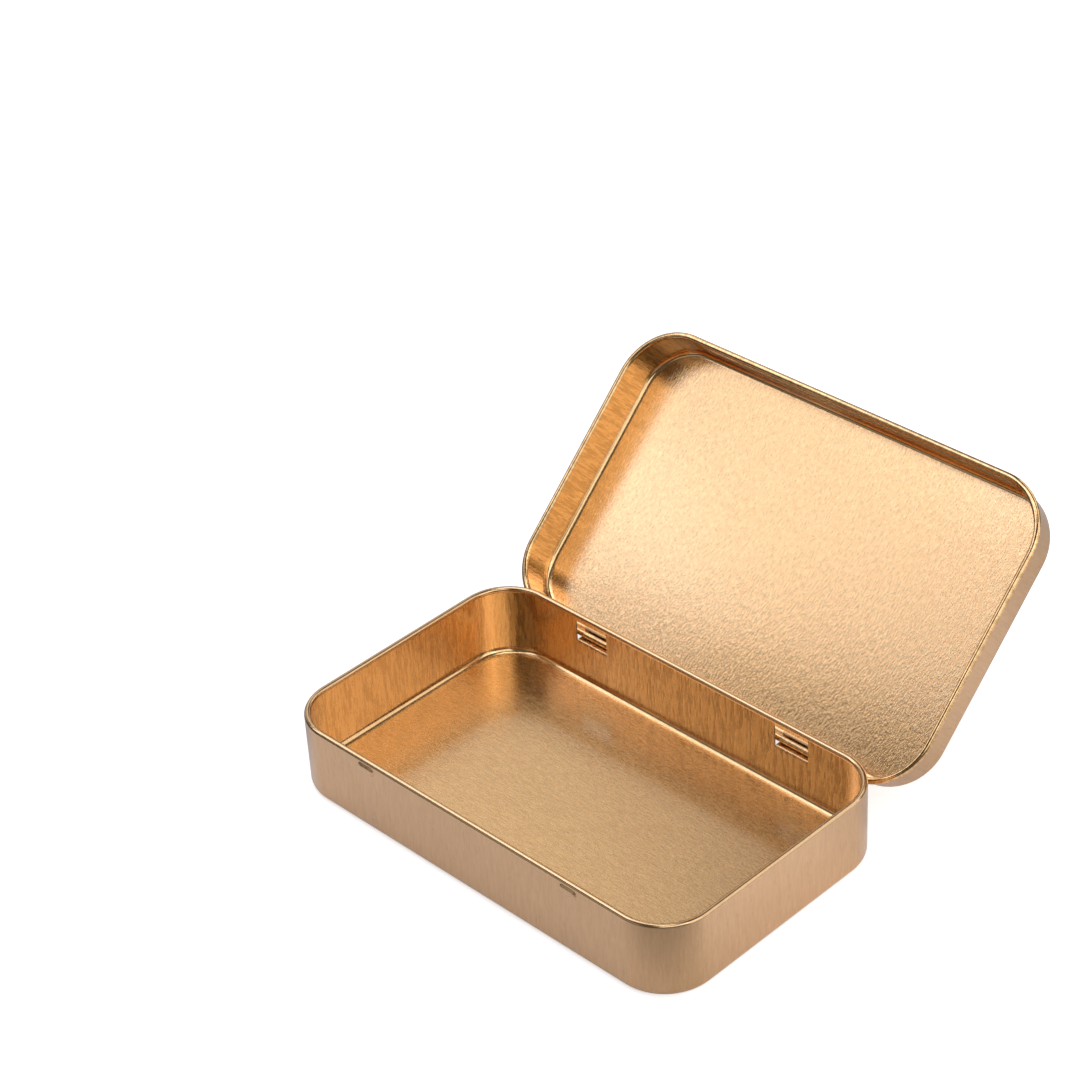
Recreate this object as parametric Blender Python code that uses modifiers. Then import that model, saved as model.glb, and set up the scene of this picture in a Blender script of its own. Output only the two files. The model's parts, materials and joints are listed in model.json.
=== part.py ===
"""Hinged metal tin: a drawn tray and a drawn lid, each one sheet of lacquered tinplate.

Metres, +Z up. X runs along the long side, the plain front faces -Y and the hinge is at +Y.
The origin is on the ground, below the middle of the tray. The lid stands open.
"""
import bmesh
import bpy
from math import atan2, cos, pi, radians, sin, sqrt, tan
from mathutils import Vector

# Sheet
SHEET = 0.0003

# Tray, measured over its outside
TRAY_LENGTH = 0.1100
TRAY_WIDTH = 0.0666
TRAY_HEIGHT = 0.0182
TRAY_CORNER = 0.0118
TRAY_FOOT_RADIUS = 0.0018
RIM_DIAMETER = 0.0014
RIM_TURN = radians(250)

# Lid, measured over its outside
LID_CLEARANCE = 0.0005
LID_DEPTH = 0.0098
LID_TOP_RADIUS = 0.0016
LID_SEAT_GAP = 0.00115
BEAD_DIAMETER = 0.0015
BEAD_TURN = radians(270)
OPEN_ANGLE = radians(136.4)

# Hinge: the lid's rear bead turns in two tabs bent out of the tray's rear wall
HINGE_RISE = 0.0008
HINGE_SPACING = 0.0572
TAB_WIDTH = 0.0088
TAB_TIP_ROUND = 0.0010
TAB_GAP = 0.00025
TAB_LEAN = 0.00015
TAB_MOUTH = 0.0005
TAB_ROOT_BEND = 0.0003
TAB_LOWER_BEND = 0.00045
TAB_UPPER_BEND = 0.0005
WINDOW_SIDE_GAP = 0.00015
SLOT_SIDE_GAP = 0.0003
SLOT_SILL = 0.00045
SLOT_HEAD = 0.0019

# Nubs pressed out of the tray's front wall, and the lid's dimples, which lie under them when
# it is closed; both are low, so that the lid passes without bending
TRAY_NUB_SPACING = 0.0577
TRAY_NUB_DROP = 0.0020
TRAY_NUB_LENGTH = 0.0047
TRAY_NUB_HEIGHT = 0.0022
TRAY_NUB_RISE = 0.0002
LID_DIMPLE_SPACING = 0.0572
LID_DIMPLE_DROP = 0.0062
LID_DIMPLE_LENGTH = 0.0045
LID_DIMPLE_HEIGHT = 0.0019
LID_DIMPLE_DEPTH = 0.0001

# Fineness of the curved forms
CORNER_STEPS = 12
FILLET_STEPS = 5
CURL_STEPS = 12
BEND_STEPS = 4
DIMPLE_COLUMNS = 8
DIMPLE_ROWS = 6
SMOOTH_ANGLE = radians(35)
TOUCH = 1e-7
SQUARE_SHARE = 0.9999

# What follows from the sizes above
HALF_SHEET = SHEET / 2
LID_LENGTH = TRAY_LENGTH + 2 * (LID_CLEARANCE + SHEET)
LID_WIDTH = TRAY_WIDTH + 2 * (LID_CLEARANCE + SHEET)
LID_CORNER = TRAY_CORNER + LID_CLEARANCE + SHEET
BEAD_RADIUS = BEAD_DIAMETER / 2
HINGE_REACH = LID_WIDTH / 2 - SHEET + BEAD_RADIUS
LID_TOP = LID_DEPTH - HINGE_RISE - BEAD_RADIUS
HINGE_HEIGHT = TRAY_HEIGHT + LID_SEAT_GAP + SHEET - LID_TOP
REAR = 1
FRONT = -1


def clear_scene():
    for item in list(bpy.data.objects):
        bpy.data.objects.remove(item, do_unlink=True)


# Sections, in the plane across a wall: each point is (outwards, up)

def arc(centre, radius, start, turn, steps):
    angles = [start + turn * step / steps for step in range(steps + 1)]
    return [(centre[0] + radius * cos(angle), centre[1] + radius * sin(angle)) for angle in angles]


def bent_strip(corners, radii):
    """A strip's middle line: straight runs between its corners, with an arc at each inner one."""
    points = [corners[0]]
    for before, corner, after, radius in zip(corners, corners[1:], corners[2:], radii):
        corner = Vector(corner)
        back = (Vector(before) - corner).normalized()
        ahead = (Vector(after) - corner).normalized()
        half_angle = back.angle(ahead) / 2
        centre = corner + (back + ahead).normalized() * radius / sin(half_angle)
        start = corner + back * radius / tan(half_angle) - centre
        end = corner + ahead * radius / tan(half_angle) - centre
        turn = (atan2(end.y, end.x) - atan2(start.y, start.x) + pi) % (2 * pi) - pi
        points += arc(centre, radius, atan2(start.y, start.x), turn, BEND_STEPS)
    return points + [corners[-1]]


def run_lengths(points):
    """How far along the strip each point lies."""
    lengths = [0.0]
    for before, point in zip(points, points[1:]):
        lengths.append(lengths[-1] + (Vector(point) - Vector(before)).length)
    return lengths


def tray_section():
    foot = TRAY_FOOT_RADIUS - HALF_SHEET
    rim = RIM_DIAMETER / 2 - HALF_SHEET
    rim_height = TRAY_HEIGHT - RIM_DIAMETER / 2
    section = arc((-foot, HALF_SHEET + foot), foot, -pi / 2, pi / 2, FILLET_STEPS)
    return section + arc((-rim, rim_height), rim, 0, RIM_TURN, CURL_STEPS)


def lid_section():
    """The lid's section as two runs: its top edge, and the bead, which climbs to the hinge."""
    top_edge = LID_TOP_RADIUS - HALF_SHEET
    bead = BEAD_RADIUS - HALF_SHEET
    top = LID_TOP - HALF_SHEET
    edge = arc((-top_edge, top - top_edge), top_edge, pi / 2, -pi / 2, FILLET_STEPS)
    return edge, arc((bead, -HINGE_RISE), bead, pi, BEAD_TURN, CURL_STEPS)


# Sheets, as open surfaces along the middle of the metal

def flat_blank(length, width, corner, height):
    """A flat rounded rectangle of sheet."""
    sheet = bmesh.new()
    bmesh.ops.create_grid(sheet, x_segments=1, y_segments=1, size=0.5)
    bmesh.ops.scale(sheet, verts=sheet.verts, vec=(length, width, 1.0))
    bmesh.ops.translate(sheet, verts=sheet.verts, vec=(0.0, 0.0, height))
    bmesh.ops.bevel(sheet, geom=sheet.verts[:], affect='VERTICES', offset=corner,
                    offset_type='OFFSET', segments=CORNER_STEPS, profile=0.5)
    return sheet


def draw_walls(sheet, span, corner, section, rise=0.0):
    """Extrude the sheet's edge through a section. At the rear it is lifted by the rise."""
    for outwards, up in section:
        rim = [edge for edge in sheet.edges if edge.is_boundary]
        grown = bmesh.ops.extrude_edge_only(sheet, edges=rim)['geom']
        for vert in [item for item in grown if isinstance(item, bmesh.types.BMVert)]:
            centre = Vector((span[0] if vert.co.x > 0 else -span[0],
                             span[1] if vert.co.y > 0 else -span[1]))
            spoke = (vert.co.xy - centre).normalized()
            vert.co.xy = centre + spoke * (corner + outwards)
            vert.co.z = up + rise * max(spoke.y, 0.0) ** 2


def drawn_sheet(length, width, corner, section, risen_section=(), rise=0.0):
    """A tray or lid, drawn from a flat blank; the sizes are those of its walls' middle."""
    span = (length / 2 - corner, width / 2 - corner)
    inset, height = section[0]
    sheet = flat_blank(length + 2 * inset, width + 2 * inset, corner + inset, height)
    draw_walls(sheet, span, corner, section[1:])
    draw_walls(sheet, span, corner, risen_section, rise)
    return sheet


def straight_wall(sheet, side, low, high):
    """The faces of the front or rear wall's straight part between two heights."""
    sheet.normal_update()
    faces = []
    for face in sheet.faces:
        middle = face.calc_center_bounds()
        if middle.y * side > 0 and low < middle.z < high and abs(face.normal.y) > SQUARE_SHARE:
            faces.append(face)
    return faces


def cut_lines(sheet, faces, normal, places):
    """Score the faces along straight lines, square to the normal."""
    for place in places:
        faces = [face for face in faces if face.is_valid]
        parts = set(faces)
        for face in faces:
            parts.update(face.edges)
            parts.update(face.verts)
        scored = bmesh.ops.bisect_plane(sheet, geom=list(parts), dist=TOUCH,
                                        plane_co=Vector(normal) * place, plane_no=normal)
        faces = [item for item in scored['geom'] if isinstance(item, bmesh.types.BMFace)]
    return faces


def wall_patch(sheet, side, wall, across, heights):
    """Score a patch of the straight wall at these places and return its faces."""
    faces = cut_lines(sheet, straight_wall(sheet, side, *wall), (1.0, 0.0, 0.0), across)
    faces = [face for face in faces if across[0] < face.calc_center_bounds().x < across[-1]]
    faces = cut_lines(sheet, faces, (0.0, 0.0, 1.0), heights)
    return [face for face in faces if heights[0] < face.calc_center_bounds().z < heights[-1]]


def evenly(middle, size, steps):
    return [middle + size * (step / steps - 0.5) for step in range(steps + 1)]


def press_dimple(sheet, side, wall, middle, size, depth):
    """Press a shallow oblong hollow into a wall, or a nub out of it where the depth is negative."""
    half_length, half_height = size[0] / 2, size[1] / 2
    faces = wall_patch(sheet, side, wall, evenly(middle[0], size[0], DIMPLE_COLUMNS),
                       evenly(middle[1], size[1], DIMPLE_ROWS))
    for vert in {vert for face in faces for vert in face.verts}:
        along = (vert.co.x - middle[0]) / half_length
        up = (vert.co.z - middle[1]) / half_height
        vert.co.y -= side * depth * (1 - along ** 4) * (1 - up ** 2)


# The tray

def tab_line():
    """The middle line of a hinge tab from the hinge axis: out under the bead and up round it."""
    wall = -(HINGE_REACH - TRAY_WIDTH / 2 + HALF_SHEET)
    reach = BEAD_RADIUS + TAB_GAP + HALF_SHEET
    corners = [(wall, -reach - TAB_ROOT_BEND), (wall, -reach), (reach + TAB_LEAN, -reach),
               (reach, reach), (TAB_MOUTH, reach)]
    return bent_strip(corners, (TAB_ROOT_BEND, TAB_LOWER_BEND, TAB_UPPER_BEND))


def cut_window_and_tab(sheet, wall, middle):
    """Cut a window in the rear wall and bend out the tab that it leaves."""
    line = tab_line()
    lengths = run_lengths(line)
    sill = HINGE_HEIGHT + line[0][1]
    half_tab = TAB_WIDTH / 2
    half_window = half_tab + WINDOW_SIDE_GAP
    across = [middle - half_window, middle - half_tab, middle + half_tab, middle + half_window]
    window = wall_patch(sheet, REAR, wall, across, [sill, sill + lengths[-1]])
    bmesh.ops.delete(sheet, geom=window, context='FACES')
    edge = next(edge for edge in sheet.edges if edge.is_boundary
                and all(abs(vert.co.z - sill) < TOUCH and vert.co.y > 0
                        and abs(vert.co.x - middle) < half_tab + TOUCH for vert in edge.verts))
    for point, length in zip(line[1:], lengths[1:]):
        grown = bmesh.ops.extrude_edge_only(sheet, edges=[edge])['geom']
        edge = next(item for item in grown if isinstance(item, bmesh.types.BMEdge))
        rounding = max(TAB_TIP_ROUND - (lengths[-1] - length), 0.0)
        half_width = half_tab - TAB_TIP_ROUND + sqrt(TAB_TIP_ROUND ** 2 - rounding ** 2)
        for vert in edge.verts:
            vert.co.x = middle + (half_width if vert.co.x > middle else -half_width)
            vert.co.y = HINGE_REACH + point[0]
            vert.co.z = HINGE_HEIGHT + point[1]


def make_tray():
    section = tray_section()
    sheet = drawn_sheet(TRAY_LENGTH - SHEET, TRAY_WIDTH - SHEET, TRAY_CORNER - HALF_SHEET, section)
    wall = (TRAY_FOOT_RADIUS, TRAY_HEIGHT - RIM_DIAMETER / 2)
    for side in (-1, 1):
        cut_window_and_tab(sheet, wall, side * HINGE_SPACING / 2)
        middle = (side * TRAY_NUB_SPACING / 2, TRAY_HEIGHT - TRAY_NUB_DROP)
        press_dimple(sheet, FRONT, wall, middle, (TRAY_NUB_LENGTH, TRAY_NUB_HEIGHT),
                     -TRAY_NUB_RISE)
    return sheet


# The lid, drawn closed, with the hinge axis through its origin

def make_lid():
    edge, bead = lid_section()
    sheet = drawn_sheet(LID_LENGTH - SHEET, LID_WIDTH - SHEET, LID_CORNER - HALF_SHEET, edge,
                        bead, HINGE_RISE)
    wall = (-HINGE_RISE, LID_TOP - LID_TOP_RADIUS)
    half_slot = TAB_WIDTH / 2 + SLOT_SIDE_GAP
    for side in (-1, 1):
        middle = side * HINGE_SPACING / 2
        slot = wall_patch(sheet, REAR, wall, [middle - half_slot, middle + half_slot],
                          [SLOT_SILL, SLOT_HEAD])
        bmesh.ops.delete(sheet, geom=slot, context='FACES')
        middle = (side * LID_DIMPLE_SPACING / 2, LID_TOP - LID_DIMPLE_DROP)
        press_dimple(sheet, FRONT, wall, middle, (LID_DIMPLE_LENGTH, LID_DIMPLE_HEIGHT),
                     LID_DIMPLE_DEPTH)
    bmesh.ops.translate(sheet, verts=sheet.verts, vec=(0.0, -HINGE_REACH, 0.0))
    return sheet


# Objects

def tinplate(name, colour, roughness):
    material = bpy.data.materials.new(name)
    material.use_nodes = True
    shader = material.node_tree.nodes["Principled BSDF"]
    shader.inputs["Base Color"].default_value = (*colour, 1.0)
    shader.inputs["Metallic"].default_value = 1.0
    shader.inputs["Roughness"].default_value = roughness
    return material


def add_sheet_object(name, sheet, material, collection):
    """Make an object of the sheet and give it the metal's thickness."""
    mesh = bpy.data.meshes.new(name)
    sheet.to_mesh(mesh)
    sheet.free()
    mesh.shade_smooth()
    mesh.set_sharp_from_angle(angle=SMOOTH_ANGLE)
    mesh.materials.append(material)
    piece = bpy.data.objects.new(name, mesh)
    collection.objects.link(piece)
    metal = piece.modifiers.new("sheet", 'SOLIDIFY')
    metal.thickness = SHEET
    metal.offset = 0.0
    metal.use_even_offset = True
    metal.use_quality_normals = True
    return piece


def main():
    clear_scene()
    tin = bpy.data.collections.new("hinged_metal_tin")
    bpy.context.scene.collection.children.link(tin)
    add_sheet_object("base_tray", make_tray(), tinplate("tray_tinplate", (0.60, 0.42, 0.26), 0.34), tin)
    lid = add_sheet_object("hinged_lid", make_lid(), tinplate("lid_tinplate", (0.66, 0.47, 0.29), 0.30), tin)
    lid.location = (0.0, HINGE_REACH, HINGE_HEIGHT)
    lid.rotation_euler.x = -OPEN_ANGLE


main()
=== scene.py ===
import json
from math import atan2, cos, pi, radians, sin, sqrt, tan
import bmesh
import bpy
from mathutils import Matrix, Vector


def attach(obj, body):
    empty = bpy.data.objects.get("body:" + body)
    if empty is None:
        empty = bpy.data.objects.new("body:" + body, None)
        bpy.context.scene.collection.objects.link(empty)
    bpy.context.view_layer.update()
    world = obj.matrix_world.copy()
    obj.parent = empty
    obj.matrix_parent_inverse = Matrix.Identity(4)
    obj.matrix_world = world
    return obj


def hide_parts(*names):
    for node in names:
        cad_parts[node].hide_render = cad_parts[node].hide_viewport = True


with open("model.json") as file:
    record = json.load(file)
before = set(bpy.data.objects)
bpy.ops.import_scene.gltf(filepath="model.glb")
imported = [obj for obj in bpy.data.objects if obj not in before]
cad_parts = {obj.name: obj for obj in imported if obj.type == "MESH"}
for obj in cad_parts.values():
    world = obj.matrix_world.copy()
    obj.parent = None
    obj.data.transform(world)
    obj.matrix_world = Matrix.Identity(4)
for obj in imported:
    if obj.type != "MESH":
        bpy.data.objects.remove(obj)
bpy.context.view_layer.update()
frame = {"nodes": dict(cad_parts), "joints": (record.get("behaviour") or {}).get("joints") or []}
print("frame loaded:", sorted(frame["nodes"]))

hinge = frame["joints"][0]                     # the lid turns on this line
hingePlace = Vector(hinge["pos_m"])
sheetThickness = 0.0003
touch = 1e-7                                   # closer than this is the same place
frontSide, rearSide = -1, 1
squareToWall = 0.9999                          # faces turned more than this aren't on a straight wall
sharpAngle = radians(35)


# Sections of bent sheet: lists of (outwards, up), with arcs at the bends

def arcPoints(centre, radius, start, turn, steps):
    angles = [start + turn * step / steps for step in range(steps + 1)]
    return [(centre[0] + radius * cos(angle), centre[1] + radius * sin(angle)) for angle in angles]


def bentStrip(corners, radii, steps):
    points = [corners[0]]
    for before, corner, after, radius in zip(corners, corners[1:], corners[2:], radii):
        corner = Vector(corner)
        back = (Vector(before) - corner).normalized()
        ahead = (Vector(after) - corner).normalized()
        halfAngle = back.angle(ahead) / 2
        centre = corner + (back + ahead).normalized() * radius / sin(halfAngle)
        start = corner + back * radius / tan(halfAngle) - centre
        end = corner + ahead * radius / tan(halfAngle) - centre
        turn = (atan2(end.y, end.x) - atan2(start.y, start.x) + pi) % (2 * pi) - pi
        points += arcPoints(centre, radius, atan2(start.y, start.x), turn, steps)
    return points + [corners[-1]]


def runLengths(points):
    lengths = [0.0]
    for before, point in zip(points, points[1:]):
        lengths.append(lengths[-1] + (Vector(point) - Vector(before)).length)
    return lengths


# Pressed sheet: a surface along the middle of the metal, which remembers its place on the flat blank

def flatBlank(length, width, corner, height, steps):
    sheet = bmesh.new()
    sheet.verts.layers.float_vector.new("flatPlace")
    bmesh.ops.create_grid(sheet, x_segments=1, y_segments=1, size=0.5)
    bmesh.ops.scale(sheet, verts=sheet.verts, vec=(length, width, 1.0))
    bmesh.ops.translate(sheet, verts=sheet.verts, vec=(0.0, 0.0, height))
    bmesh.ops.bevel(sheet, geom=sheet.verts[:], affect='VERTICES', offset=corner,
                    offset_type='OFFSET', segments=steps, profile=0.5, material=-1)
    flatPlace = sheet.verts.layers.float_vector["flatPlace"]
    for vert in sheet.verts:
        vert[flatPlace] = vert.co
    return sheet


def drawWalls(sheet, span, corner, section, rise=0.0):
    flatPlace = sheet.verts.layers.float_vector["flatPlace"]
    for outwards, up in section:
        rim = [edge for edge in sheet.edges if edge.is_boundary]
        grown = bmesh.ops.extrude_edge_only(sheet, edges=rim)["geom"]
        for vert in [item for item in grown if isinstance(item, bmesh.types.BMVert)]:
            centre = Vector((span[0] if vert.co.x > 0 else -span[0],
                             span[1] if vert.co.y > 0 else -span[1]))
            spoke = (vert.co.xy - centre).normalized()
            was = vert.co.copy()
            vert.co.xy = centre + spoke * (corner + outwards)
            vert.co.z = up + rise * max(spoke.y, 0.0) ** 2
            run = (vert.co - was).length
            vert[flatPlace] = vert[flatPlace] + Vector((spoke.x, spoke.y, 0.0)) * run


def straightWall(sheet, side, low, high):
    sheet.normal_update()
    faces = []
    for face in sheet.faces:
        middle = face.calc_center_bounds()
        if middle.y * side > 0 and low < middle.z < high and abs(face.normal.y) > squareToWall:
            faces.append(face)
    return faces


def scoreLines(sheet, faces, normal, places):
    for place in places:
        parts = set(faces)
        for face in faces:
            parts.update(face.edges)
            parts.update(face.verts)
        scored = bmesh.ops.bisect_plane(sheet, geom=list(parts), dist=touch,
                                        plane_co=Vector(normal) * place, plane_no=normal)
        faces = [item for item in scored["geom"] if isinstance(item, bmesh.types.BMFace)]
    return faces


def wallPatch(sheet, side, wall, across, heights):
    faces = scoreLines(sheet, straightWall(sheet, side, *wall), (1.0, 0.0, 0.0), across)
    faces = [face for face in faces if across[0] < face.calc_center_bounds().x < across[-1]]
    faces = scoreLines(sheet, faces, (0.0, 0.0, 1.0), heights)
    return [face for face in faces if heights[0] < face.calc_center_bounds().z < heights[-1]]


def evenly(middle, size, steps):
    return [middle + size * (step / steps - 0.5) for step in range(steps + 1)]


def pressDimple(sheet, side, wall, middle, values):
    faces = wallPatch(sheet, side, wall, evenly(middle[0], values["length"], values["columns"]),
                      evenly(middle[1], values["height"], values["rows"]))
    endRadius = values["height"] / 2           # round ends and a straight middle
    for vert in {vert for face in faces for vert in face.verts}:
        along = max(abs(vert.co.x - middle[0]) - (values["length"] / 2 - endRadius), 0.0)
        out = min(sqrt(along ** 2 + (vert.co.z - middle[1]) ** 2) / endRadius, 1.0)
        hollow = (1 - out ** values["flatness"]) ** values["softness"]
        vert.co.y -= side * values["depth"] * hollow       # a depth below zero makes a nub


def finishSheet(name, sheet, materials, body, node, place, bigFaceLooks):
    bigFace = max(sheet.faces, key=lambda face: face.calc_area())
    sheet.normal_update()
    if bigFace.normal.z * bigFaceLooks < 0:
        bmesh.ops.reverse_faces(sheet, faces=sheet.faces[:])
    wallPlace = sheet.verts.layers.float_vector.new("wallPlace")
    for vert in sheet.verts:
        vert[wallPlace] = vert.co              # its place before the lid is turned
    bmesh.ops.transform(sheet, matrix=place, verts=sheet.verts[:])
    mesh = bpy.data.meshes.new(name)
    sheet.to_mesh(mesh)
    sheet.free()
    mesh.shade_smooth()
    mesh.set_sharp_from_angle(angle=sharpAngle)
    for material in materials:
        mesh.materials.append(material)
    piece = bpy.data.objects.new(name, mesh)
    bpy.context.scene.collection.objects.link(piece)
    metal = piece.modifiers.new("sheetMetal", 'SOLIDIFY')
    metal.thickness = sheetThickness
    metal.offset = 0.0
    metal.use_even_offset = True
    metal.use_quality_normals = True
    metal.material_offset = 1                  # inside of the tin
    metal.material_offset_rim = 2              # cut edges
    even = piece.modifiers.new("evenShading", 'WEIGHTED_NORMAL')
    even.keep_sharp = True                     # flat walls stay flat beside their bends
    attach(piece, body)
    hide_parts(node)
    return piece


# Shader parts

markSockets = {                                # the group's socket and the material's value for it
    "Wall from": "wallFrom", "Wall to": "wallTo", "Curl from": "curlFrom", "Curl to": "curlTo",
    "Flat low": "flatLow", "Flat high": "flatHigh", "Wall low": "wallLow", "Wall high": "wallHigh",
}


def addNode(tree, kind, place, values=None, **settings):
    node = tree.nodes.new(kind)
    node.location = place
    for name, value in settings.items():
        setattr(node, name, value)
    for name, value in (values or {}).items():
        node.inputs[name].default_value = value
    return node


def makeGroup(name, inputs, outputs):
    tree = bpy.data.node_groups.new(name, 'ShaderNodeTree')
    for label, kind, value in inputs:
        socket = tree.interface.new_socket(label, in_out='INPUT', socket_type=kind)
        if value is not None:
            socket.default_value = value
    for label, kind in outputs:
        tree.interface.new_socket(label, in_out='OUTPUT', socket_type=kind)
    entry = addNode(tree, 'NodeGroupInput', (-900, 0))
    leave = addNode(tree, 'NodeGroupOutput', (700, 0))
    return tree, entry, leave


grainValues = {
    "hairScale": 2.6,                          # hairs are this much finer than streaks
    "streaks": {"Scale": 1.0, "Detail": 2.0, "Roughness": 0.55, "Distortion": 0.25},
    "hairs": {"Scale": 1.0, "Detail": 1.0, "Roughness": 0.5},
}


def makeRollingGrain(values):
    # streaks left by the rolls, cells per metre across and along them
    tree, entry, leave = makeGroup("rollingGrain", [
        ("Place", 'NodeSocketVector', None), ("Cells", 'NodeSocketVector', None),
        ("Fine share", 'NodeSocketFloat', None)], [("Streaks", 'NodeSocketFloat')])
    joinUp = tree.links.new
    coarse = addNode(tree, 'ShaderNodeVectorMath', (-650, 120), operation='MULTIPLY')
    joinUp(entry.outputs["Place"], coarse.inputs[0])
    joinUp(entry.outputs["Cells"], coarse.inputs[1])
    fine = addNode(tree, 'ShaderNodeVectorMath', (-450, -120), operation='SCALE')
    joinUp(coarse.outputs["Vector"], fine.inputs[0])
    fine.inputs["Scale"].default_value = values["hairScale"]
    streaks = addNode(tree, 'ShaderNodeTexNoise', (-200, 120), values["streaks"])
    joinUp(coarse.outputs["Vector"], streaks.inputs["Vector"])
    hairs = addNode(tree, 'ShaderNodeTexNoise', (-200, -160), values["hairs"])
    joinUp(fine.outputs["Vector"], hairs.inputs["Vector"])
    blend = addNode(tree, 'ShaderNodeMix', (250, 0), data_type='FLOAT')
    joinUp(entry.outputs["Fine share"], blend.inputs["Factor"])
    joinUp(streaks.outputs["Fac"], blend.inputs[2])
    joinUp(hairs.outputs["Fac"], blend.inputs[3])
    joinUp(blend.outputs[0], leave.inputs["Streaks"])
    return tree


markValues = {
    "curlCalm": 0.9,                           # share of the scratches that curls lose
    "bendSpread": 7.0,                         # higher: the calm strip along a bend is wider
    "rubbedShare": 0.55,                       # roughness of bends and curls, as a share of the flats'
}


def makeSheetMarks(values):
    # the streaks of flats and of walls joined, and scratches that stay off the bends and curls
    labels = ["Height", "Flat streaks", "Wall streaks"] + list(markSockets)
    tree, entry, leave = makeGroup(
        "sheetMarks", [(label, 'NodeSocketFloat', None) for label in labels],
        [(label, 'NodeSocketFloat') for label in ("Marks", "Scratches", "Satin")])
    joinUp = tree.links.new
    onWall = addNode(tree, 'ShaderNodeMapRange', (-650, 200))
    joinUp(entry.outputs["Height"], onWall.inputs["Value"])
    joinUp(entry.outputs["Wall from"], onWall.inputs["From Min"])
    joinUp(entry.outputs["Wall to"], onWall.inputs["From Max"])
    onCurl = addNode(tree, 'ShaderNodeMapRange', (-650, -150), {"To Max": values["curlCalm"]})
    joinUp(entry.outputs["Height"], onCurl.inputs["Value"])
    joinUp(entry.outputs["Curl from"], onCurl.inputs["From Min"])
    joinUp(entry.outputs["Curl to"], onCurl.inputs["From Max"])
    marks = addNode(tree, 'ShaderNodeMix', (-150, 300), data_type='FLOAT')
    joinUp(onWall.outputs["Result"], marks.inputs["Factor"])
    for where, socket, high in (("Flat", 2, 600), ("Wall", 3, 400)):
        clear = addNode(tree, 'ShaderNodeMapRange', (-400, high))
        joinUp(entry.outputs[where + " streaks"], clear.inputs["Value"])
        joinUp(entry.outputs[where + " low"], clear.inputs["From Min"])
        joinUp(entry.outputs[where + " high"], clear.inputs["From Max"])
        joinUp(clear.outputs["Result"], marks.inputs[socket])
    offWall = addNode(tree, 'ShaderNodeMath', (-400, 50), {0: 1.0}, operation='SUBTRACT')
    joinUp(onWall.outputs["Result"], offWall.inputs[1])
    halfWay = addNode(tree, 'ShaderNodeMath', (-250, 50), operation='MULTIPLY')
    joinUp(onWall.outputs["Result"], halfWay.inputs[0])
    joinUp(offWall.outputs[0], halfWay.inputs[1])
    bend = addNode(tree, 'ShaderNodeMath', (-100, 50), {1: values["bendSpread"]},
                   operation='MULTIPLY', use_clamp=True)
    joinUp(halfWay.outputs[0], bend.inputs[0])
    calm = addNode(tree, 'ShaderNodeMath', (50, 0), operation='MAXIMUM')
    joinUp(bend.outputs[0], calm.inputs[0])
    joinUp(onCurl.outputs["Result"], calm.inputs[1])
    rest = addNode(tree, 'ShaderNodeMath', (200, 0), {0: 1.0}, operation='SUBTRACT')
    joinUp(calm.outputs[0], rest.inputs[1])
    depth = addNode(tree, 'ShaderNodeMath', (200, 200), {1: 0.5}, operation='SUBTRACT')
    joinUp(marks.outputs[0], depth.inputs[0])
    scratches = addNode(tree, 'ShaderNodeMath', (400, 100), operation='MULTIPLY')
    joinUp(depth.outputs[0], scratches.inputs[0])
    joinUp(rest.outputs[0], scratches.inputs[1])
    satin = addNode(tree, 'ShaderNodeMapRange', (400, -150), {"To Min": values["rubbedShare"]})
    joinUp(rest.outputs[0], satin.inputs["Value"])         # bends and curls are rubbed smoother
    joinUp(marks.outputs[0], leave.inputs["Marks"])
    joinUp(scratches.outputs[0], leave.inputs["Scratches"])
    joinUp(satin.outputs["Result"], leave.inputs["Satin"])
    return tree


cloudValues = {                                # scales are cells per metre
    "clouds": {"Scale": 60.0, "Detail": 3.0, "Roughness": 0.6},
    "waves": {"Scale": 35.0, "Detail": 1.0, "Roughness": 0.4},
}


def makeLacquerClouds(values):
    # slow changes of tone, and the slight waves that pressing leaves in thin sheet
    tree, entry, leave = makeGroup("lacquerClouds", [("Place", 'NodeSocketVector', None)],
                                   [("Clouds", 'NodeSocketFloat'), ("Waves", 'NodeSocketFloat')])
    joinUp = tree.links.new
    clouds = addNode(tree, 'ShaderNodeTexNoise', (-300, 150), values["clouds"])
    joinUp(entry.outputs["Place"], clouds.inputs["Vector"])
    waves = addNode(tree, 'ShaderNodeTexNoise', (-300, -150), values["waves"])
    joinUp(entry.outputs["Place"], waves.inputs["Vector"])
    joinUp(clouds.outputs["Fac"], leave.inputs["Clouds"])
    joinUp(waves.outputs["Fac"], leave.inputs["Waves"])
    return tree


def startMaterial(name):
    material = bpy.data.materials.new(name)
    material.use_nodes = True
    tree = material.node_tree
    tree.nodes.clear()
    shader = addNode(tree, 'ShaderNodeBsdfPrincipled', (500, 0))
    output = addNode(tree, 'ShaderNodeOutputMaterial', (800, 0))
    tree.links.new(shader.outputs["BSDF"], output.inputs["Surface"])
    return material, tree, shader


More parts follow.
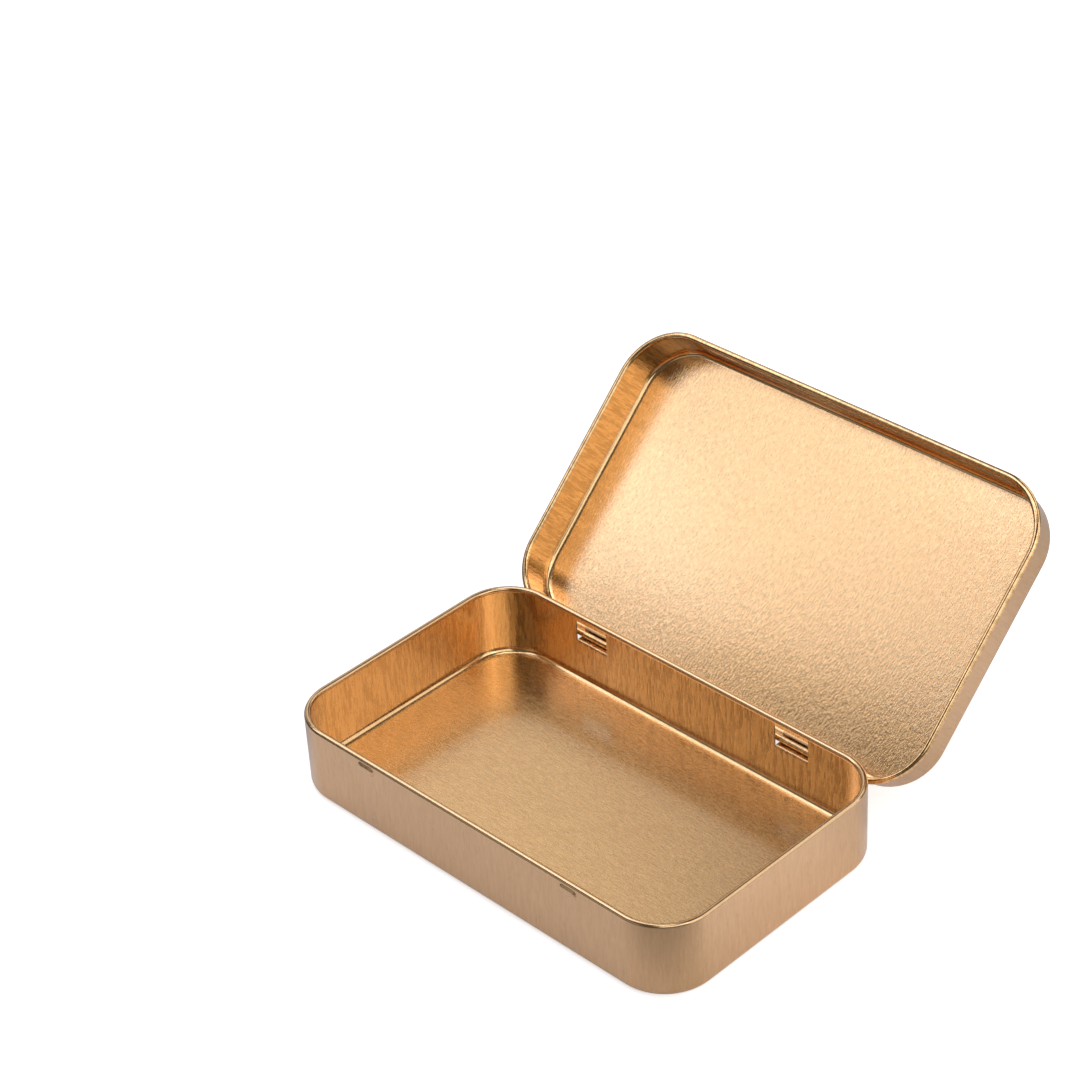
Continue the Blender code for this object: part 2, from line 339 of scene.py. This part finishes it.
def goldLacquer(name, values):
    material, tree, shader = startMaterial(name)
    joinUp = tree.links.new
    shader.inputs["Metallic"].default_value = 1.0
    shader.inputs["Coat Weight"].default_value = 1.0
    shader.inputs["Coat Roughness"].default_value = values["coatRoughness"]
    shader.inputs["Coat IOR"].default_value = values["coatIor"]
    marks = addNode(tree, 'ShaderNodeGroup', (-550, 250), node_tree=sheetMarks)
    for label, value in markSockets.items():
        marks.inputs[label].default_value = values[value]
    for where, high in (("flat", 400), ("wall", 100)):    # marks of rolling, and of drawing
        place = addNode(tree, 'ShaderNodeAttribute', (-1100, high), attribute_name=where + "Place")
        grain = addNode(tree, 'ShaderNodeGroup', (-850, high), node_tree=rollingGrain)
        grain.inputs["Cells"].default_value = values[where + "Cells"]
        grain.inputs["Fine share"].default_value = values["fineShare"]
        joinUp(place.outputs["Vector"], grain.inputs["Place"])
        joinUp(grain.outputs["Streaks"], marks.inputs[where.capitalize() + " streaks"])
    upright = addNode(tree, 'ShaderNodeSeparateXYZ', (-850, -100))
    joinUp(place.outputs["Vector"], upright.inputs[0])
    joinUp(upright.outputs["Z"], marks.inputs["Height"])
    clouds = addNode(tree, 'ShaderNodeGroup', (-650, -400), node_tree=lacquerClouds)
    joinUp(place.outputs["Vector"], clouds.inputs["Place"])
    blend = addNode(tree, 'ShaderNodeMix', (-250, 250), data_type='FLOAT')
    blend.inputs["Factor"].default_value = values["toneShare"]
    joinUp(clouds.outputs["Clouds"], blend.inputs[2])
    joinUp(marks.outputs["Marks"], blend.inputs[3])
    tone = addNode(tree, 'ShaderNodeMix', (0, 250), data_type='RGBA')
    tone.inputs[6].default_value = (*values["deepColour"], 1.0)
    tone.inputs[7].default_value = (*values["lightColour"], 1.0)
    joinUp(blend.outputs[0], tone.inputs["Factor"])
    joinUp(tone.outputs[2], shader.inputs["Base Color"])
    rough = addNode(tree, 'ShaderNodeMapRange', (0, 0),
                    {"To Min": values["smoothest"], "To Max": values["roughest"]})
    joinUp(marks.outputs["Marks"], rough.inputs["Value"])
    rubbed = addNode(tree, 'ShaderNodeMath', (200, 0), operation='MULTIPLY')
    joinUp(rough.outputs["Result"], rubbed.inputs[0])
    joinUp(marks.outputs["Satin"], rubbed.inputs[1])
    joinUp(rubbed.outputs[0], shader.inputs["Roughness"])
    waves = addNode(tree, 'ShaderNodeBump', (0, -400), {"Distance": values["waveDepth"]})
    joinUp(clouds.outputs["Waves"], waves.inputs["Height"])
    scratches = addNode(tree, 'ShaderNodeBump', (250, -250), {"Distance": values["grainDepth"]})
    joinUp(marks.outputs["Scratches"], scratches.inputs["Height"])
    joinUp(waves.outputs["Normal"], scratches.inputs["Normal"])
    joinUp(scratches.outputs["Normal"], shader.inputs["Normal"])
    return material


def bareCutEdge(name, values):
    material, tree, shader = startMaterial(name)
    joinUp = tree.links.new
    shader.inputs["Metallic"].default_value = 1.0
    solid = addNode(tree, 'ShaderNodeTexCoord', (-700, 0))
    nicks = addNode(tree, 'ShaderNodeTexNoise', (-450, 0), {"Scale": values["nickCells"]})
    joinUp(solid.outputs["Object"], nicks.inputs["Vector"])
    tone = addNode(tree, 'ShaderNodeMix', (0, 150), data_type='RGBA')
    tone.inputs[6].default_value = (*values["deepColour"], 1.0)
    tone.inputs[7].default_value = (*values["lightColour"], 1.0)
    joinUp(nicks.outputs["Fac"], tone.inputs["Factor"])
    joinUp(tone.outputs[2], shader.inputs["Base Color"])
    rough = addNode(tree, 'ShaderNodeMapRange', (0, -150),
                    {"To Min": values["smoothest"], "To Max": values["roughest"]})
    joinUp(nicks.outputs["Fac"], rough.inputs["Value"])
    joinUp(rough.outputs["Result"], shader.inputs["Roughness"])
    return material


rollingGrain = makeRollingGrain(grainValues)
sheetMarks = makeSheetMarks(markValues)
lacquerClouds = makeLacquerClouds(cloudValues)

trayOutsideValues = {
    "deepColour": (0.67, 0.415, 0.20), "lightColour": (0.83, 0.535, 0.28),
    "flatCells": (450.0, 2100.0, 2100.0), "wallCells": (1400.0, 1400.0, 200.0),
    "wallFrom": 0.0002, "wallTo": 0.0018, "curlFrom": 0.0172, "curlTo": 0.0176,
    "fineShare": 0.40, "grainDepth": 0.000012,
    "flatLow": 0.30, "flatHigh": 0.70, "wallLow": 0.30, "wallHigh": 0.70, "toneShare": 0.75,
    "waveDepth": 0.00006, "smoothest": 0.26, "roughest": 0.36,
    "coatRoughness": 0.12, "coatIor": 1.5,
}
trayInsideValues = dict(trayOutsideValues, deepColour=(0.66, 0.39, 0.16),
                        lightColour=(0.96, 0.60, 0.275), wallCells=(1000.0, 1000.0, 130.0),
                        flatCells=(600.0, 3300.0, 3300.0), flatLow=0.36, flatHigh=0.64,
                        wallLow=0.43, wallHigh=0.56, toneShare=0.85, grainDepth=0.000015, smoothest=0.22,
                        roughest=0.31)
lidOutsideValues = dict(trayOutsideValues, flatCells=(2100.0, 450.0, 2100.0), wallFrom=0.00805,
                        wallTo=0.0066, curlFrom=0.0002, curlTo=-0.0006)
lidInsideValues = dict(trayInsideValues, flatCells=(2700.0, 700.0, 2700.0), wallFrom=0.00805,
                       wallTo=0.0066, curlFrom=0.0002, curlTo=-0.0006, grainDepth=0.000019,
                       smoothest=0.16, roughest=0.23)
cutEdgeValues = {
    "deepColour": (0.62, 0.61, 0.60), "lightColour": (0.90, 0.89, 0.87),
    "nickCells": 2500.0, "smoothest": 0.22, "roughest": 0.45,
}
cutEdge = bareCutEdge("bareCutEdge", cutEdgeValues)
trayMaterials = [goldLacquer("trayOutside", trayOutsideValues),
                 goldLacquer("trayInside", trayInsideValues), cutEdge]
lidMaterials = [goldLacquer("lidOutside", lidOutsideValues),
                goldLacquer("lidInside", lidInsideValues), cutEdge]
print("materials made:", len(trayMaterials) + len(lidMaterials) - 1)


# The tray

trayValues = {
    "length": 0.1100, "width": 0.0666, "height": 0.0182, "corner": 0.0118,
    "footRadius": 0.0018, "rimDiameter": 0.0014, "rimTurn": radians(250),
    "cornerSteps": 28, "footSteps": 8, "rimSteps": 22,
    "hingeSpacing": 0.0572, "tabWidth": 0.0088, "tabTipRound": 0.0010, "tabGap": 0.00025,
    "tabLean": 0.00015, "tabMouth": 0.0005, "tabRootBend": 0.0003, "tabLowerBend": 0.00045,
    "tabUpperBend": 0.0005, "tabSteps": 8, "windowSideGap": 0.00015,
    "nubSpacing": 0.0577, "nubDrop": 0.0020,
    "nub": {"length": 0.0047, "height": 0.0022, "depth": -0.0004, "softness": 1.0,
            "flatness": 3.0, "columns": 54, "rows": 26},
}


def traySection(values):
    half = sheetThickness / 2
    foot = values["footRadius"] - half
    rim = values["rimDiameter"] / 2 - half
    rimHeight = values["height"] - values["rimDiameter"] / 2
    section = arcPoints((-foot, half + foot), foot, -pi / 2, pi / 2, values["footSteps"])
    return section + arcPoints((-rim, rimHeight), rim, 0, values["rimTurn"], values["rimSteps"])


def tabLine(values, wallFace, bead):
    half = sheetThickness / 2
    wall = wallFace - half - hingePlace.y
    reach = bead / 2 + values["tabGap"] + half
    corners = [(wall, -reach - values["tabRootBend"]), (wall, -reach),
               (reach + values["tabLean"], -reach), (reach, reach), (values["tabMouth"], reach)]
    radii = (values["tabRootBend"], values["tabLowerBend"], values["tabUpperBend"])
    return bentStrip(corners, radii, values["tabSteps"])


def cutWindow(sheet, wall, middle, line, values):
    flatPlace = sheet.verts.layers.float_vector["flatPlace"]
    lengths = runLengths(line)
    sill = hingePlace.z + line[0][1]
    halfTab = values["tabWidth"] / 2
    halfWindow = halfTab + values["windowSideGap"]
    tipRound = values["tabTipRound"]
    across = [middle - halfWindow, middle - halfTab, middle + halfTab, middle + halfWindow]
    window = wallPatch(sheet, rearSide, wall, across, [sill, sill + lengths[-1]])
    bmesh.ops.delete(sheet, geom=window, context='FACES')
    edge = next(edge for edge in sheet.edges if edge.is_boundary
                and all(abs(vert.co.z - sill) < touch and vert.co.y > 0
                        and abs(vert.co.x - middle) < halfTab + touch for vert in edge.verts))
    for point, length, before in zip(line[1:], lengths[1:], lengths):
        grown = bmesh.ops.extrude_edge_only(sheet, edges=[edge])["geom"]
        edge = next(item for item in grown if isinstance(item, bmesh.types.BMEdge))
        rounding = max(tipRound - (lengths[-1] - length), 0.0)
        halfWidth = halfTab - tipRound + sqrt(tipRound ** 2 - rounding ** 2)
        for vert in edge.verts:
            vert.co.x = middle + (halfWidth if vert.co.x > middle else -halfWidth)
            vert.co.y = hingePlace.y + point[0]
            vert.co.z = hingePlace.z + point[1]
            vert[flatPlace] = vert[flatPlace] + Vector((0.0, length - before, 0.0))


def makeTray(values, bead):
    half = sheetThickness / 2
    corner = values["corner"] - half
    length, width = values["length"] - sheetThickness, values["width"] - sheetThickness
    section = traySection(values)
    inset, height = section[0]
    sheet = flatBlank(length + 2 * inset, width + 2 * inset, corner + inset, height,
                      values["cornerSteps"])
    drawWalls(sheet, (length / 2 - corner, width / 2 - corner), corner, section[1:])
    wall = (values["footRadius"], values["height"] - values["rimDiameter"] / 2)
    line = tabLine(values, values["width"] / 2, bead)
    for side in (-1, 1):
        cutWindow(sheet, wall, side * values["hingeSpacing"] / 2, line, values)
        middle = (side * values["nubSpacing"] / 2, values["height"] - values["nubDrop"])
        pressDimple(sheet, frontSide, wall, middle, values["nub"])
    return finishSheet("drawnTray", sheet, trayMaterials, "tray", "base_tray",
                       Matrix.Identity(4), -1)


# The lid, drawn closed with the hinge line through its origin, then turned open

lidValues = {
    "length": 0.1116, "width": 0.0682, "depth": 0.0098, "corner": 0.0126,
    "topRadius": 0.0016, "beadDiameter": 0.0015, "beadTurn": radians(270), "rise": 0.0008,
    "cornerSteps": 28, "topSteps": 8, "beadSteps": 24, "openAngle": radians(136.4),
    "slotSpacing": 0.0572, "slotWidth": 0.0094, "slotSill": 0.00045, "slotHead": 0.0019,
    "dimpleSpacing": 0.0572, "dimpleDrop": 0.0062,
    "dimple": {"length": 0.0045, "height": 0.0019, "depth": 0.0001, "softness": 1.2,
               "flatness": 2.0, "columns": 36, "rows": 18},
}


def makeLid(values):
    half = sheetThickness / 2
    corner = values["corner"] - half
    length, width = values["length"] - sheetThickness, values["width"] - sheetThickness
    topEdge = values["topRadius"] - half
    bead = values["beadDiameter"] / 2 - half
    panel = values["depth"] - values["rise"] - values["beadDiameter"] / 2
    edge = arcPoints((-topEdge, panel - half - topEdge), topEdge, pi / 2, -pi / 2,
                     values["topSteps"])
    curl = arcPoints((bead, -values["rise"]), bead, pi, values["beadTurn"], values["beadSteps"])
    inset, height = edge[0]
    sheet = flatBlank(length + 2 * inset, width + 2 * inset, corner + inset, height,
                      values["cornerSteps"])
    span = (length / 2 - corner, width / 2 - corner)
    drawWalls(sheet, span, corner, edge[1:])
    drawWalls(sheet, span, corner, curl, values["rise"])
    wall = (-values["rise"], panel - values["topRadius"])
    for side in (-1, 1):
        middle = side * values["slotSpacing"] / 2
        slot = wallPatch(sheet, rearSide, wall, evenly(middle, values["slotWidth"], 1),
                         [values["slotSill"], values["slotHead"]])
        bmesh.ops.delete(sheet, geom=slot, context='FACES')
        middle = (side * values["dimpleSpacing"] / 2, panel - values["dimpleDrop"])
        pressDimple(sheet, frontSide, wall, middle, values["dimple"])
    toAxis = Matrix.Translation((0.0, -(width / 2 + bead), 0.0))
    turned = Matrix.Rotation(-values["openAngle"], 4, 'X')
    return finishSheet("hingedLid", sheet, lidMaterials, "lid", "hinged_lid",
                       Matrix.Translation(hingePlace) @ turned @ toAxis, 1)


tray = makeTray(trayValues, lidValues["beadDiameter"])
print("tray drawn:", len(tray.data.polygons), "faces")
lid = makeLid(lidValues)
print("lid drawn:", len(lid.data.polygons), "faces")


# Studio: a pale floor, soft lights and the photograph's camera

studioValues = {
    "floorSize": 12.0, "floorColour": (0.92, 0.92, 0.92), "floorGlow": 0.62,
    "paintedReflectionColour": (0.97, 0.915, 0.92), "paintedReflectionGlow": 0.14,               # painted reflection: the floor as metal sees it, a dimmer floor with a glow of its own
    "paintedReflectionShades": (                           # painted shade bands on the reflected floor: way across the floor, from and to, shade there
        ((-0.55, -0.83, 0.0), -0.050, 0.010, 0.82), ((-0.55, -0.83, 0.0), 0.070, 0.120, 0.08),
        ((0.0, 1.0, 0.0), 0.018, 0.045, 0.78), ((0.0, 1.0, 0.0), 0.050, 0.085, 1.16),
        ((0.69, -0.72, 0.0), 0.050, 0.080, 0.48),
        ((-0.69, 0.72, 0.0), 0.012, 0.030, 0.66)),
    "floorRoughness": 0.9, "skyColour": (1.0, 0.95, 0.86), "skyStrength": 0.11,
}
lightsAim = Vector((0.0, 0.02, 0.02))          # azimuths and elevations are seen from here
lightValues = {
    "keySoftbox": {"azimuth": -54.0, "elevation": 47.9, "roll": 42, "distance": 0.42,
                   "size": (0.28, 0.13), "colour": (0.96, 1.0, 1.20), "radiance": 1.16},
    "keyLowSoftbox": {"azimuth": -60, "elevation": 33, "distance": 0.42, "size": (0.13, 0.12),
                      "colour": (0.95, 1.0, 1.20), "radiance": 1.0},
    "rimSoftbox": {"azimuth": -84, "elevation": 51, "distance": 0.42, "size": (0.13, 0.10),
                   "colour": (1.0, 1.0, 1.0), "radiance": 2.0},
    "highSoftbox": {"azimuth": -78, "elevation": 67, "distance": 0.42, "size": (0.28, 0.15),
                    "colour": (0.94, 1.0, 1.18), "radiance": 1.7},
    "leftSoftbox": {"azimuth": -100, "elevation": 42, "distance": 0.42, "size": (0.16, 0.26),
                    "colour": (1.0, 1.0, 1.0), "radiance": 0.35},
    "leftLowSoftbox": {"azimuth": -100, "elevation": 12, "distance": 0.45, "size": (0.40, 0.20),
                       "colour": (1.0, 1.0, 1.0), "radiance": 0.34},
    "backLeftSoftbox": {"azimuth": -125, "elevation": 40, "distance": 0.50, "size": (0.24, 0.28),
                        "colour": (1.0, 0.98, 0.96), "radiance": 0.72},
    "backLowSoftbox": {"azimuth": -160, "elevation": 10, "distance": 0.55, "size": (0.50, 0.20),
                       "colour": (1.0, 1.0, 1.0), "radiance": 0.50},
    "backSoftbox": {"azimuth": 175, "elevation": 36, "distance": 0.50, "size": (0.26, 0.28),
                    "colour": (1.0, 1.0, 1.0), "radiance": 1.05},
    "backRightSoftbox": {"azimuth": 135, "elevation": 40, "distance": 0.50, "size": (0.28, 0.28),
                         "colour": (1.0, 1.0, 1.0), "radiance": 1.06},
    "rightSoftbox": {"azimuth": 95, "elevation": 40, "distance": 0.50, "size": (0.24, 0.28),
                     "colour": (1.0, 1.0, 1.0), "radiance": 1.35},
    "rightLowSoftbox": {"azimuth": 112, "elevation": 12, "distance": 0.50, "size": (0.56, 0.20),
                        "colour": (1.0, 1.0, 1.0), "radiance": 1.1},
    "cameraSoftbox": {"azimuth": 60, "elevation": 42, "distance": 0.60, "size": (0.42, 0.36),
                      "colour": (0.96, 1.01, 1.04), "radiance": 1.25},
    "frontLowSoftbox": {"azimuth": -16, "elevation": 13, "distance": 0.50, "size": (0.40, 0.18),
                        "colour": (1.0, 1.0, 1.0), "radiance": 0.34},
    "topSoftbox": {"azimuth": 0, "elevation": 88, "distance": 0.60, "size": (0.25, 0.20),
                   "colour": (1.0, 1.0, 1.0), "radiance": 2.2},
}
cameraValues = {
    "azimuth": 46.0012, "elevation": 39.2615, "roll": -3.1556, "distance": 0.6314541,
    "turnAside": 0.8172, "turnDown": 5.1375, "focalPixels": 3019.69, "imagePixels": 1080.0,
    "sensor": 36.0, "nearest": 0.01, "farthest": 20.0,
}


def viewDirection(azimuth, elevation):
    a, e = radians(azimuth), radians(elevation)
    return Vector((sin(a) * cos(e), -cos(a) * cos(e), sin(e)))


def makeFloor(values):
    material, tree, shader = startMaterial("paleFloor")
    joinUp = tree.links.new
    white = (1.0, 1.0, 1.0, 1.0)
    roughness = values["floorRoughness"]
    shader.inputs["Base Color"].default_value = (*values["floorColour"], 1.0)
    shader.inputs["Roughness"].default_value = roughness
    shader.inputs["Emission Color"].default_value = white
    shader.inputs["Emission Strength"].default_value = values["floorGlow"]
    solid = addNode(tree, 'ShaderNodeTexCoord', (-900, -400))
    tone = addNode(tree, 'ShaderNodeRGB', (-900, -700)).outputs["Color"]
    tone.default_value = (*values["paintedReflectionColour"], 1.0)
    # painted shade: the floor seen in reflections is darkened in these bands around the tin
    for step, (way, start, end, shade) in enumerate(values["paintedReflectionShades"]):
        reach = addNode(tree, 'ShaderNodeVectorMath', (-700 + 250 * step, -400),
                        operation='DOT_PRODUCT')
        joinUp(solid.outputs["Object"], reach.inputs[0])
        reach.inputs[1].default_value = way
        fade = addNode(tree, 'ShaderNodeMapRange', (-700 + 250 * step, -600),
                       {"From Min": start, "From Max": end, "To Min": 1.0, "To Max": shade},
                       interpolation_type='SMOOTHSTEP')
        joinUp(reach.outputs["Value"], fade.inputs["Value"])
        darken = addNode(tree, 'ShaderNodeVectorMath', (-700 + 250 * step, -800), operation='SCALE')
        joinUp(tone, darken.inputs[0])
        joinUp(fade.outputs["Result"], darken.inputs["Scale"])
        tone = darken.outputs["Vector"]
    paintedReflectionFloor = addNode(tree, 'ShaderNodeBsdfPrincipled', (500, -400),
                      {"Roughness": roughness, "Emission Strength": values["paintedReflectionGlow"]})
    joinUp(tone, paintedReflectionFloor.inputs["Base Color"])
    joinUp(tone, paintedReflectionFloor.inputs["Emission Color"])
    # glossy rays meet the painted reflection floor, all other rays the plain pale floor
    rays = addNode(tree, 'ShaderNodeLightPath', (300, 300))
    pick = addNode(tree, 'ShaderNodeMixShader', (800, 100))
    output = next(node for node in tree.nodes if node.type == 'OUTPUT_MATERIAL')
    output.location = (1050, 0)
    joinUp(rays.outputs["Is Glossy Ray"], pick.inputs[0])
    joinUp(shader.outputs["BSDF"], pick.inputs[1])
    joinUp(paintedReflectionFloor.outputs["BSDF"], pick.inputs[2])
    joinUp(pick.outputs["Shader"], output.inputs["Surface"])
    floor = bmesh.new()
    bmesh.ops.create_grid(floor, x_segments=1, y_segments=1, size=values["floorSize"] / 2)
    mesh = bpy.data.meshes.new("floor")
    floor.to_mesh(mesh)
    floor.free()
    mesh.materials.append(material)
    piece = bpy.data.objects.new("floor", mesh)
    bpy.context.scene.collection.objects.link(piece)


def makeSky(values):
    world = bpy.data.worlds.new("studioSky")
    world.use_nodes = True
    sky = world.node_tree.nodes["Background"]
    sky.inputs["Color"].default_value = (*values["skyColour"], 1.0)
    sky.inputs["Strength"].default_value = values["skyStrength"]
    bpy.context.scene.world = world


def makeLight(name, values):
    lamp = bpy.data.lights.new(name, 'AREA')
    lamp.shape = 'RECTANGLE'
    lamp.size, lamp.size_y = values["size"]
    lamp.color = values["colour"]
    lamp.energy = values["radiance"] * pi * lamp.size * lamp.size_y
    light = bpy.data.objects.new(name, lamp)
    bpy.context.scene.collection.objects.link(light)
    direction = viewDirection(values["azimuth"], values["elevation"])
    light.location = lightsAim + direction * values["distance"]
    aim = direction.to_track_quat('Z', 'Y').to_matrix()
    rolled = Matrix.Rotation(radians(values.get("roll", 0)), 3, 'Z')
    light.rotation_euler = (aim @ rolled).to_euler()


def makeCamera(values):
    back = viewDirection(values["azimuth"], values["elevation"])
    right = Vector((cos(radians(values["azimuth"])), sin(radians(values["azimuth"])), 0.0))
    up = right.cross(-back)
    turned = Matrix((right, up, back)).transposed().to_4x4()
    turned = turned @ Matrix.Rotation(radians(values["roll"]), 4, 'Z')
    turned = turned @ Matrix.Rotation(radians(values["turnAside"]), 4, 'Y')
    turned = turned @ Matrix.Rotation(radians(values["turnDown"]), 4, 'X')
    lens = bpy.data.cameras.new("photographCamera")
    lens.sensor_width = values["sensor"]
    lens.lens = values["focalPixels"] / values["imagePixels"] * values["sensor"]
    lens.clip_start, lens.clip_end = values["nearest"], values["farthest"]
    camera = bpy.data.objects.new("photographCamera", lens)
    bpy.context.scene.collection.objects.link(camera)
    camera.matrix_world = Matrix.Translation(back * values["distance"]) @ turned
    bpy.context.scene.camera = camera


bpy.context.scene.view_settings.view_transform = 'Standard'    # keeps the gold's own colour
makeFloor(studioValues)
makeSky(studioValues)
for name, values in lightValues.items():
    makeLight(name, values)
makeCamera(cameraValues)
print("studio set")
